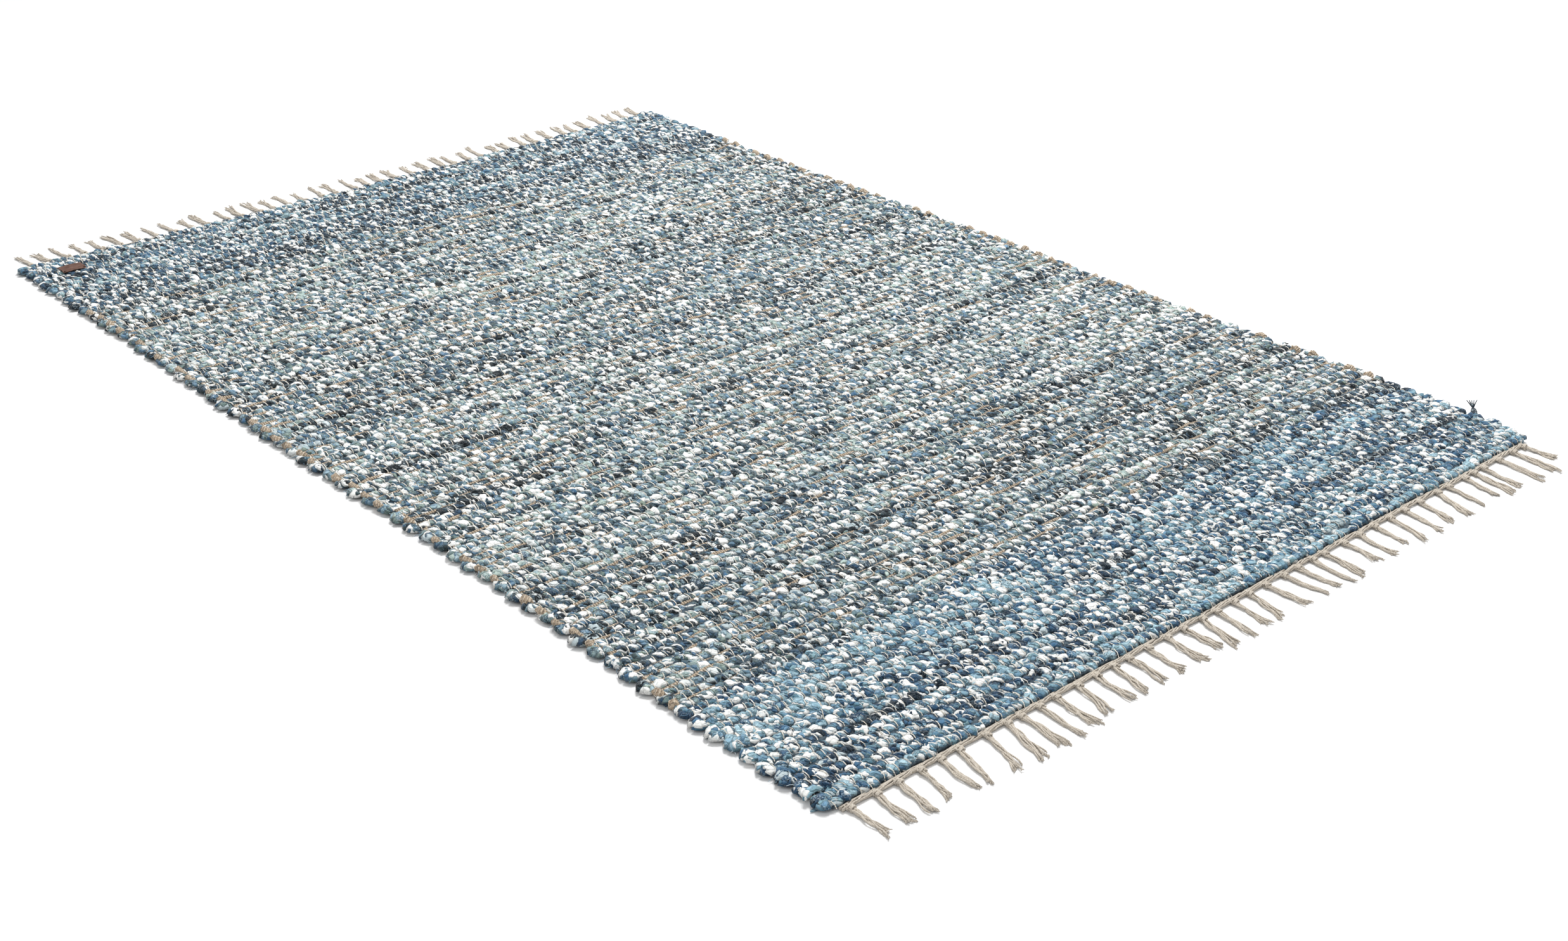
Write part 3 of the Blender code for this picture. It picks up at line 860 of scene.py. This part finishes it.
jute_picks = np.arange(END_PICKS, middle_end - 1)
jute_lines = np.array([jute_line(pick) for pick in jute_picks])
jute_rings = jute_lines.shape[1]
jute_metres = metres_along(jute_lines) + jute_picks[:, None] * cloth_width * JUTE_LENGTH
jute_size = JUTE_RADIUS * (1 + JUTE_VARIES * rng.standard_normal((len(jute_picks), jute_rings)))
ring_place = np.arange(jute_rings)
from_end = np.minimum(ring_place, ring_place[::-1])
fat = JUTE_FAT / JUTE_RADIUS
outer = 1 + (fat - 1) * np.clip((JUTE_TURN_RINGS + 1 - from_end) / 2.0, 0.0, 1.0)
jute_size = (jute_size * outer)[..., None]
jute_rounds = lay_tube(jute_lines, jute_size, jute_size, YARN_ANGLES, 0.0004)
jute = make_tubes("jute_picks", jute_rounds, jute_finish, jute_metres)
put_in_cloth(jute)

# The loose threads. Torn cloth frays, so short pale and dark threads stand off the rags, most of them along
# the selvedges, where the turns rub.
EDGE_THREADS = 520
TOP_THREADS = 1100
THREAD_RADIUS = 0.00035
THREAD_ANGLES = np.radians([90.0, 210.0, 330.0])
THREAD_POINTS = 4
THREAD_RISE = 0.0012
THREAD_SINKS = 0.25
EDGE_IN = (0.003, 0.009)
EDGE_HEIGHTS = (0.004, 0.0115)
EDGE_LENGTHS = (0.004, 0.013)
TOP_LENGTHS = (0.004, 0.010)
TOP_HEIGHT = 0.0124
THREAD_COLOURS = [(0.0, "24384A"), (0.22, "5F7F96"), (0.42, "9DB8C6"), (0.62, "CAD8DD"), (0.85, "E8EAE6")]

thread_finish = new_finish("frayed_threads", 0.95, 0.1)
dress(thread_finish, steps(thread_finish, number(thread_finish, "tone"), THREAD_COLOURS))


def lay_threads(roots, heading, lengths):
    """A curved thread from each root, in its own direction, that sinks a little towards its tip."""
    share = np.linspace(0.0, 1.0, THREAD_POINTS)
    turn = heading[:, None] + rng.normal(0.0, 0.9, (len(roots), 1)) * share
    out = lengths[:, None] * share
    x = roots[:, :1] + out * np.cos(turn)
    y = roots[:, 1:2] + out * np.sin(turn)
    sinks = THREAD_SINKS * out * rng.uniform(0.0, 1.0, (len(roots), 1))
    z = roots[:, 2:] + THREAD_RISE * np.sin(np.pi * share) - sinks
    return np.stack([x, y, np.maximum(z, THREAD_RADIUS)], -1)


thread_pick = rng.integers(1, picks - 1, EDGE_THREADS)
thread_side = rng.choice([-1, 1], EDGE_THREADS)
edge_roots = np.array([
    (selvedge_at(pick_middle[pick], side) - side * rng.uniform(*EDGE_IN),
     lie(0.0, pick_middle[pick]) + rng.uniform(-0.008, 0.008), rng.uniform(*EDGE_HEIGHTS))
    for pick, side in zip(thread_pick, thread_side)
])
edge_roots[:, 1] += lie(edge_roots[:, 0], pick_middle[thread_pick]) - lie(0.0, pick_middle[thread_pick])
edge_heading = np.where(thread_side > 0, 0.0, np.pi) + rng.normal(0.0, 0.8, EDGE_THREADS)
top_x = rng.uniform(-0.75, 0.75, TOP_THREADS)
top_along = rng.uniform(0.01, cloth_length - 0.01, TOP_THREADS)
top_roots = np.stack([top_x, lie(top_x, top_along), np.full(TOP_THREADS, TOP_HEIGHT)], -1)
threads = np.concatenate([
    lay_threads(edge_roots, edge_heading, rng.uniform(*EDGE_LENGTHS, EDGE_THREADS)),
    lay_threads(top_roots, rng.uniform(0, 2 * np.pi, TOP_THREADS), rng.uniform(*TOP_LENGTHS, TOP_THREADS)),
])
thread_rounds = lay_tube(threads, THREAD_RADIUS, THREAD_RADIUS, THREAD_ANGLES, 0.0001)
thread_metres = np.linspace(0, 0.008, THREAD_POINTS)
thread_tone = rng.uniform(0, 1, (len(threads), 1))
loose_threads = make_tubes(
    "loose_threads", thread_rounds, thread_finish, thread_metres, cell_columns=40, tone=thread_tone
)
put_in_cloth(loose_threads)

# The rag tails. Where a strip of the roving runs out its end is left on top, so a pale flap and a white tip
# stand off the near left corner, and a dark tuft, frayed into threads, off the right selvedge.
TAIL_ANGLES = np.radians([0.0, 60.0, 120.0, 180.0, 240.0, 300.0])
TUFT_TOP = (0.792, -1.061, 0.0155)
RAG_TAILS = [
    # four places, four half widths, thickness as a share of the width, turn, tone
    (((-0.763, -1.143, 0.0125), (-0.772, -1.1365, 0.0140),
      (-0.7855, -1.137, 0.0125), (-0.794, -1.1425, 0.0090)),
     (0.0035, 0.0072, 0.0068, 0.0025), 0.32, 0.12, 0.40),
    (((-0.769, -1.1535, 0.0065), (-0.775, -1.152, 0.0065),
      (-0.780, -1.150, 0.0060), (-0.7855, -1.1475, 0.0055)),
     (0.0035, 0.0046, 0.0044, 0.0015), 0.85, 0.72, 0.40),
    (((-0.772, -1.150, 0.0040), (-0.782, -1.155, 0.0035), (-0.790, -1.158, 0.0025), (-0.797, -1.157, 0.0020)),
     (0.0060, 0.0062, 0.0040, 0.0012), 0.30, 0.12, 0.30),
    (((0.782, -1.070, 0.0095), (0.786, -1.067, 0.0120), (0.790, -1.063, 0.0142), TUFT_TOP),
     (0.0058, 0.0058, 0.0048, 0.0024), 0.70, 0.12, -0.80),
]
for spread in (-0.0092, -0.0048, -0.0006, 0.0040, 0.0088):
    tip = (TUFT_TOP[0] + 0.0080 + 0.75 * spread, TUFT_TOP[1] + 0.0090 - 0.66 * spread, TUFT_TOP[2] + 0.0095)
    strand = [tuple(np.add(TUFT_TOP, np.subtract(tip, TUFT_TOP) * share)) for share in (0.0, 0.4, 0.7, 1.0)]
    RAG_TAILS.append((strand, (0.0014, 0.0011, 0.0009, 0.0006), 1.0, 0.12, -0.80))

tails, tail_width, tail_flat, tail_turn, tail_tone = map(np.array, zip(*RAG_TAILS))
tail_width = tail_width[..., None]
tail_rounds = lay_tube(tails, tail_width, tail_width * tail_flat[:, None, None], TAIL_ANGLES)
tail_turns = tail_turn[:, None, None] + 0.05 * np.ones((1, 4, 7))
tail_metres = np.linspace(0.0, 0.03, 4) + np.arange(len(tails))[:, None]
rag_tails = make_tubes(
    "rag_tails", tail_rounds, rag_finish, tail_metres, tail_turns, 3, tone=tail_tone[:, None]
)
put_number(rag_tails.data, "zone", np.zeros(tail_rounds.shape[:3]))
# Painted shade: the depth number darkens the tails' colour towards the floor.
put_number(rag_tails.data, "depth", np.clip(tail_rounds[..., 2] / 0.0100, 0.3, 1.0))
put_in_cloth(rag_tails)

# The two fringes. The warp ends are twined into a flat header cord along each end, then knotted in bunches
# of eight yarns. Each yarn is a soft two-ply cotton, wavy from its knot, with a frayed tip.
TASSELS = 41
YARNS = 8
YARN_RADIUS = 0.00135
YARN_RINGS = 12
HEADER_WIDTH = 0.0093
HEADER_YARNS = 6
HEADER_RADIUS = 0.0015
HEADER_SWING_OUT = 0.0031
HEADER_SWING_UP = 0.0019
HEADER_MIDDLE = 0.0040
HEADER_PITCH = 0.13
HEADER_STEP = 0.007
KNOT_OUT = 0.0035
KNOT_WIDE = 0.0050
KNOT_HIGH = 0.0032
KNOT_STRAND = 0.0017
KNOT_TURNS = 2.6
KNOT_RINGS = 22
KNOT_FROM_TO = (-0.0036, 0.0040)
LOCK_SPREAD = 0.6
BUNDLE_HALF = 0.0032
BUNDLE_OPENS = 0.0016
BUNDLE_BENDS = 0.0030
BUNDLE_TURNS = 0.5
YARN_LENGTHS = (0.88, 1.0)
WAVE_SIZES = (0.0006, 0.0020)
WAVE_RATES = (7.0, 15.0)
FRAYS = 2
FRAY_LENGTH = 0.0042
FRAY_POINTS = 4
FRAY_SIZES = (0.0011, 0.0007)
TIP_ZONE = 0.0613
TIP_HEIGHT = 0.0003
CREST_HEIGHT = 0.0100
YARN_COLOURS = [(0.3, "9A9082"), (0.5, "BBB2A5"), (0.72, "D6CFC4")]

yarn_finish = new_finish("fringe_cotton", 0.9, 0.15)
paint_yarn(yarn_finish, YARN_COLOURS, 500.0, 8.0, 0.5, 0.04, 0.2, 0.0004)


def lay_yarns(kind, end, rounds, metres, cell_columns=1):
    """One piece of yarns of one end's fringe."""
    piece = make_tubes(kind + "_" + end, rounds, yarn_finish, metres, cell_columns=cell_columns)
    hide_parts("fringe_" + end)
    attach(piece, "root")


def round_yarns(lines, radius, varies):
    """Yarns of five sides, each ring of them a little thicker or thinner."""
    size = radius * (1 + varies * rng.standard_normal((*lines.shape[:2], 1)))
    return lay_tube(lines, size, size, YARN_ANGLES)


def end_of_cloth(x, outward):
    """Where the cloth ends along Y, at the far end or the near one."""
    return lie(x, cloth_length if outward > 0 else 0.0)


def twine_header(end, outward):
    """The header's yarns, laid round each other along the end of the cloth."""
    low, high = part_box("fringe_" + end)
    x = np.arange(low.x + 0.004, high.x - 0.004, HEADER_STEP)
    start = np.arange(HEADER_YARNS) * 2 * np.pi / HEADER_YARNS
    turn = 2 * np.pi * x / HEADER_PITCH + start[:, None] + 0.25 * rng.standard_normal((HEADER_YARNS, len(x)))
    out = HEADER_WIDTH / 2 + HEADER_SWING_OUT * np.cos(turn) + 0.0005 * np.sin(x * 70)
    up = HEADER_MIDDLE + HEADER_SWING_UP * np.sin(turn)
    lines = np.stack([x + 0 * turn, end_of_cloth(x, outward) + outward * out, up], -1)
    metres = x - low.x + np.arange(HEADER_YARNS)[:, None]
    lay_yarns("header", end, round_yarns(lines, HEADER_RADIUS, 0.08), metres)


def read_tassels(end, outward):
    """Each tassel's root and the tips of its two locks, read from the corners of the end's solid."""
    points = np.unique(np.round(points_of("fringe_" + end), 5), axis=0)
    floor_points = points[points[:, 2] < TIP_HEIGHT]
    away = outward * (floor_points[:, 1] - end_of_cloth(floor_points[:, 0], outward))
    tips = floor_points[away > TIP_ZONE]
    tips = tips[np.argsort(tips[:, 0])].reshape(-1, 2, 2, 3).mean(2)[..., :2]
    assert len(tips) == TASSELS
    crests = points[points[:, 2] > CREST_HEIGHT]
    crests = crests[np.argsort(crests[:, 0])]
    groups = np.split(crests, np.nonzero(np.diff(crests[:, 0]) > 0.010)[0] + 1)
    return np.array([group[:, 0].mean() for group in groups]), tips


def hang_tassels(end, outward):
    """The knots, the yarns and their frayed tips of one end."""
    roots, tips = read_tassels(end, outward)
    twine_header(end, outward)
    yarns = []
    knots = []
    share = np.r_[-0.10, 0.02, np.linspace(0.10, 1.0, YARN_RINGS - 2)]
    out_share = np.clip(share, 0.0, 1.0)
    held = np.clip(1 - share * 1.6, 0.0, 1.0)
    for x, locks in zip(roots, tips):
        root_y = end_of_cloth(x, outward) + outward * HEADER_WIDTH
        bend = rng.uniform(-BUNDLE_BENDS, BUNDLE_BENDS)
        twist = rng.uniform(-BUNDLE_TURNS, BUNDLE_TURNS)
        for strand in range(YARNS):
            tip_x, tip_y = locks[strand * 2 // YARNS]
            tip_x = locks[:, 0].mean() + LOCK_SPREAD * (tip_x - locks[:, 0].mean())
            own = rng.uniform(*YARN_LENGTHS)
            angle = 2 * np.pi * (strand / YARNS + twist * share) + rng.uniform(-0.4, 0.4)
            half = BUNDLE_HALF + BUNDLE_OPENS * out_share
            lock_x = (tip_x - x) * out_share * own
            wave = rng.uniform(*WAVE_SIZES) * np.sin(share * rng.uniform(*WAVE_RATES) + rng.uniform(0, 6))
            yarn_x = x + lock_x + half * np.cos(angle) + bend * np.sin(np.pi * out_share) + wave
            yarn_y = root_y + (tip_y - root_y) * share * own
            yarn_z = YARN_RADIUS + 0.0013 + 0.0012 * np.sin(angle) + 0.0022 * held
            yarns.append(np.stack([yarn_x, yarn_y, np.maximum(yarn_z, YARN_RADIUS)], -1))
        turn = np.linspace(0.0, KNOT_TURNS * 2 * np.pi, KNOT_RINGS) + rng.uniform(0, 6)
        slide = np.linspace(*KNOT_FROM_TO, KNOT_RINGS)
        knots.append(np.stack([
            x + KNOT_WIDE * np.cos(turn) + rng.uniform(-0.3, 0.3) * slide,
            root_y + outward * (KNOT_OUT + slide + 0.0007 * np.sin(turn * 1.7)),
            KNOT_HIGH + KNOT_STRAND + KNOT_HIGH * np.sin(turn),
        ], -1))
    yarns = np.array(yarns)
    rounds = round_yarns(yarns, YARN_RADIUS, 0.10)
    metres = metres_along(yarns) + rng.uniform(0, 5, (len(yarns), 1))
    lay_yarns("yarns", end, rounds, metres, 8)
    metres = np.linspace(0, 0.07, KNOT_RINGS)
    lay_yarns("knots", end, round_yarns(np.array(knots), KNOT_STRAND, 0.08), metres, 4)
    ends = np.repeat(yarns[:, -1], FRAYS, axis=0)
    ahead = np.repeat(yarns[:, -1] - yarns[:, -2], FRAYS, axis=0)
    ahead /= np.linalg.norm(ahead, axis=1, keepdims=True)
    ahead[:, 0] += rng.normal(0, 0.30, len(ends))
    ahead[:, 2] *= 0.2
    lengths = FRAY_LENGTH * rng.uniform(0.4, 1.1, (len(ends), 1, 1))
    out = np.linspace(-0.1, 1.0, FRAY_POINTS)[:, None] * lengths
    frays = ends[:, None] + ahead[:, None] * out
    frays[..., 0] += 0.0012 * np.sin(np.linspace(0, 3, FRAY_POINTS) + rng.uniform(0, 6, (len(ends), 1)))
    size = np.linspace(*FRAY_SIZES, FRAY_POINTS)[:, None]
    metres = np.linspace(0, 0.006, FRAY_POINTS)
    lay_yarns("frays", end, lay_tube(frays, size, size, np.radians([0, 120, 240])), metres, 16)


hang_tassels("near", -1)
hang_tassels("far", 1)

# The label. A patch of brown leather, bare, laid over two picks near the far left corner and sewn down
# with dark thread at its corners, so that its edges dip a little into the grooves.
LABEL_ACROSS = 26
LABEL_UP = 18
LABEL_THICK = 0.0016
LABEL_CORNER = 0.0028
LABEL_LIFT = 0.0013
LABEL_DIP = 0.00056
LABEL_RIPPLE = 0.00032
SEWN_DOWN = 0.0012
STITCH_IN = 0.0034
STITCH_LENGTH = 0.0034
STITCH_RADIUS = 0.00045
STITCH_LIFT = 0.0014
STITCH_BOW = 0.0012

leather = new_finish("label_leather", 0.62)
leather_place = place_on(leather)
leather_grain = noise(leather, leather_place, 900.0, 3.0, 0.6)
leather_cloud = sums(leather, "MULTIPLY", noise(leather, leather_place, 90.0), 0.7)
leather_tint = sums(leather, "MULTIPLY_ADD", leather_grain, 0.3, leather_cloud)
leather_colours = [(0.35, "4F372E"), (0.5, "5F453B"), (0.65, "70554A")]
dress(leather, steps(leather, leather_tint, leather_colours, True), leather_grain, 0.0003)
label_low, label_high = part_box("label")
label_middle = (label_low + label_high) / 2
label_size = label_high - label_low
across, upward = np.meshgrid(np.linspace(-1, 1, LABEL_ACROSS + 1), np.linspace(-1, 1, LABEL_UP + 1))
half_x = label_size.x / 2
half_y = label_size.y / 2
corner_cut = np.maximum(np.abs(across) * half_x - (half_x - LABEL_CORNER), 0.0) / LABEL_CORNER
edge_y = half_y - LABEL_CORNER * (1 - np.sqrt(np.maximum(1 - corner_cut ** 2, 0.0)))
label_x = label_middle.x + across * half_x
label_y = label_middle.y + upward * edge_y
dips = LABEL_DIP * np.cos(2 * np.pi * (label_y - near_end) / END_PITCH + 0.8)
dips += LABEL_RIPPLE * np.sin(label_x * 210)
label_z = label_low.z + LABEL_LIFT + dips - SEWN_DOWN * across ** 4 * upward ** 4
label_points = np.stack([label_x, label_y, label_z], -1).reshape(-1, 3)
patch = make_piece("label_patch", label_points, grid_faces(LABEL_UP + 1, LABEL_ACROSS + 1), leather)
patch_thick = patch.modifiers.new("thickness", "SOLIDIFY")
patch_thick.thickness = LABEL_THICK
patch_thick.offset = 1.0
patch_edge = patch.modifiers.new("worn_edge", "BEVEL")
patch_edge.width = 0.0004
patch_edge.segments = 2
patch_edge.limit_method = "ANGLE"
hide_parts("label")
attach(patch, "root")

dark_thread = new_finish("label_thread", 0.8)
dark_twist = noise(dark_thread, place_on(dark_thread), 1500.0)
dark_tint = steps(dark_thread, dark_twist, [(0.3, "191614"), (0.7, "2E2824")], True)
dress(dark_thread, dark_tint, dark_twist, 0.0002)
stitches = []
bow = np.linspace(-1, 1, 5)
for side in (-1, 1):
    for end in (-1, 1):
        at_x = label_middle.x + side * (half_x - STITCH_IN)
        at_y = label_middle.y + end * (half_y - STITCH_IN)
        for slant in (-1, 1):
            stitches.append(np.stack([
                at_x + bow * STITCH_LENGTH / 2,
                at_y + slant * bow * STITCH_LENGTH / 2,
                label_low.z + LABEL_THICK + STITCH_LIFT - STITCH_BOW * bow * bow,
            ], -1))
stitches = np.array(stitches)
stitch_rounds = lay_tube(stitches, STITCH_RADIUS, STITCH_RADIUS, YARN_ANGLES)
stitch_metres = np.linspace(0, STITCH_LENGTH, 5)
sewing = make_tubes("label_stitches", stitch_rounds, dark_thread, stitch_metres, cell_columns=4)
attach(sewing, "root")
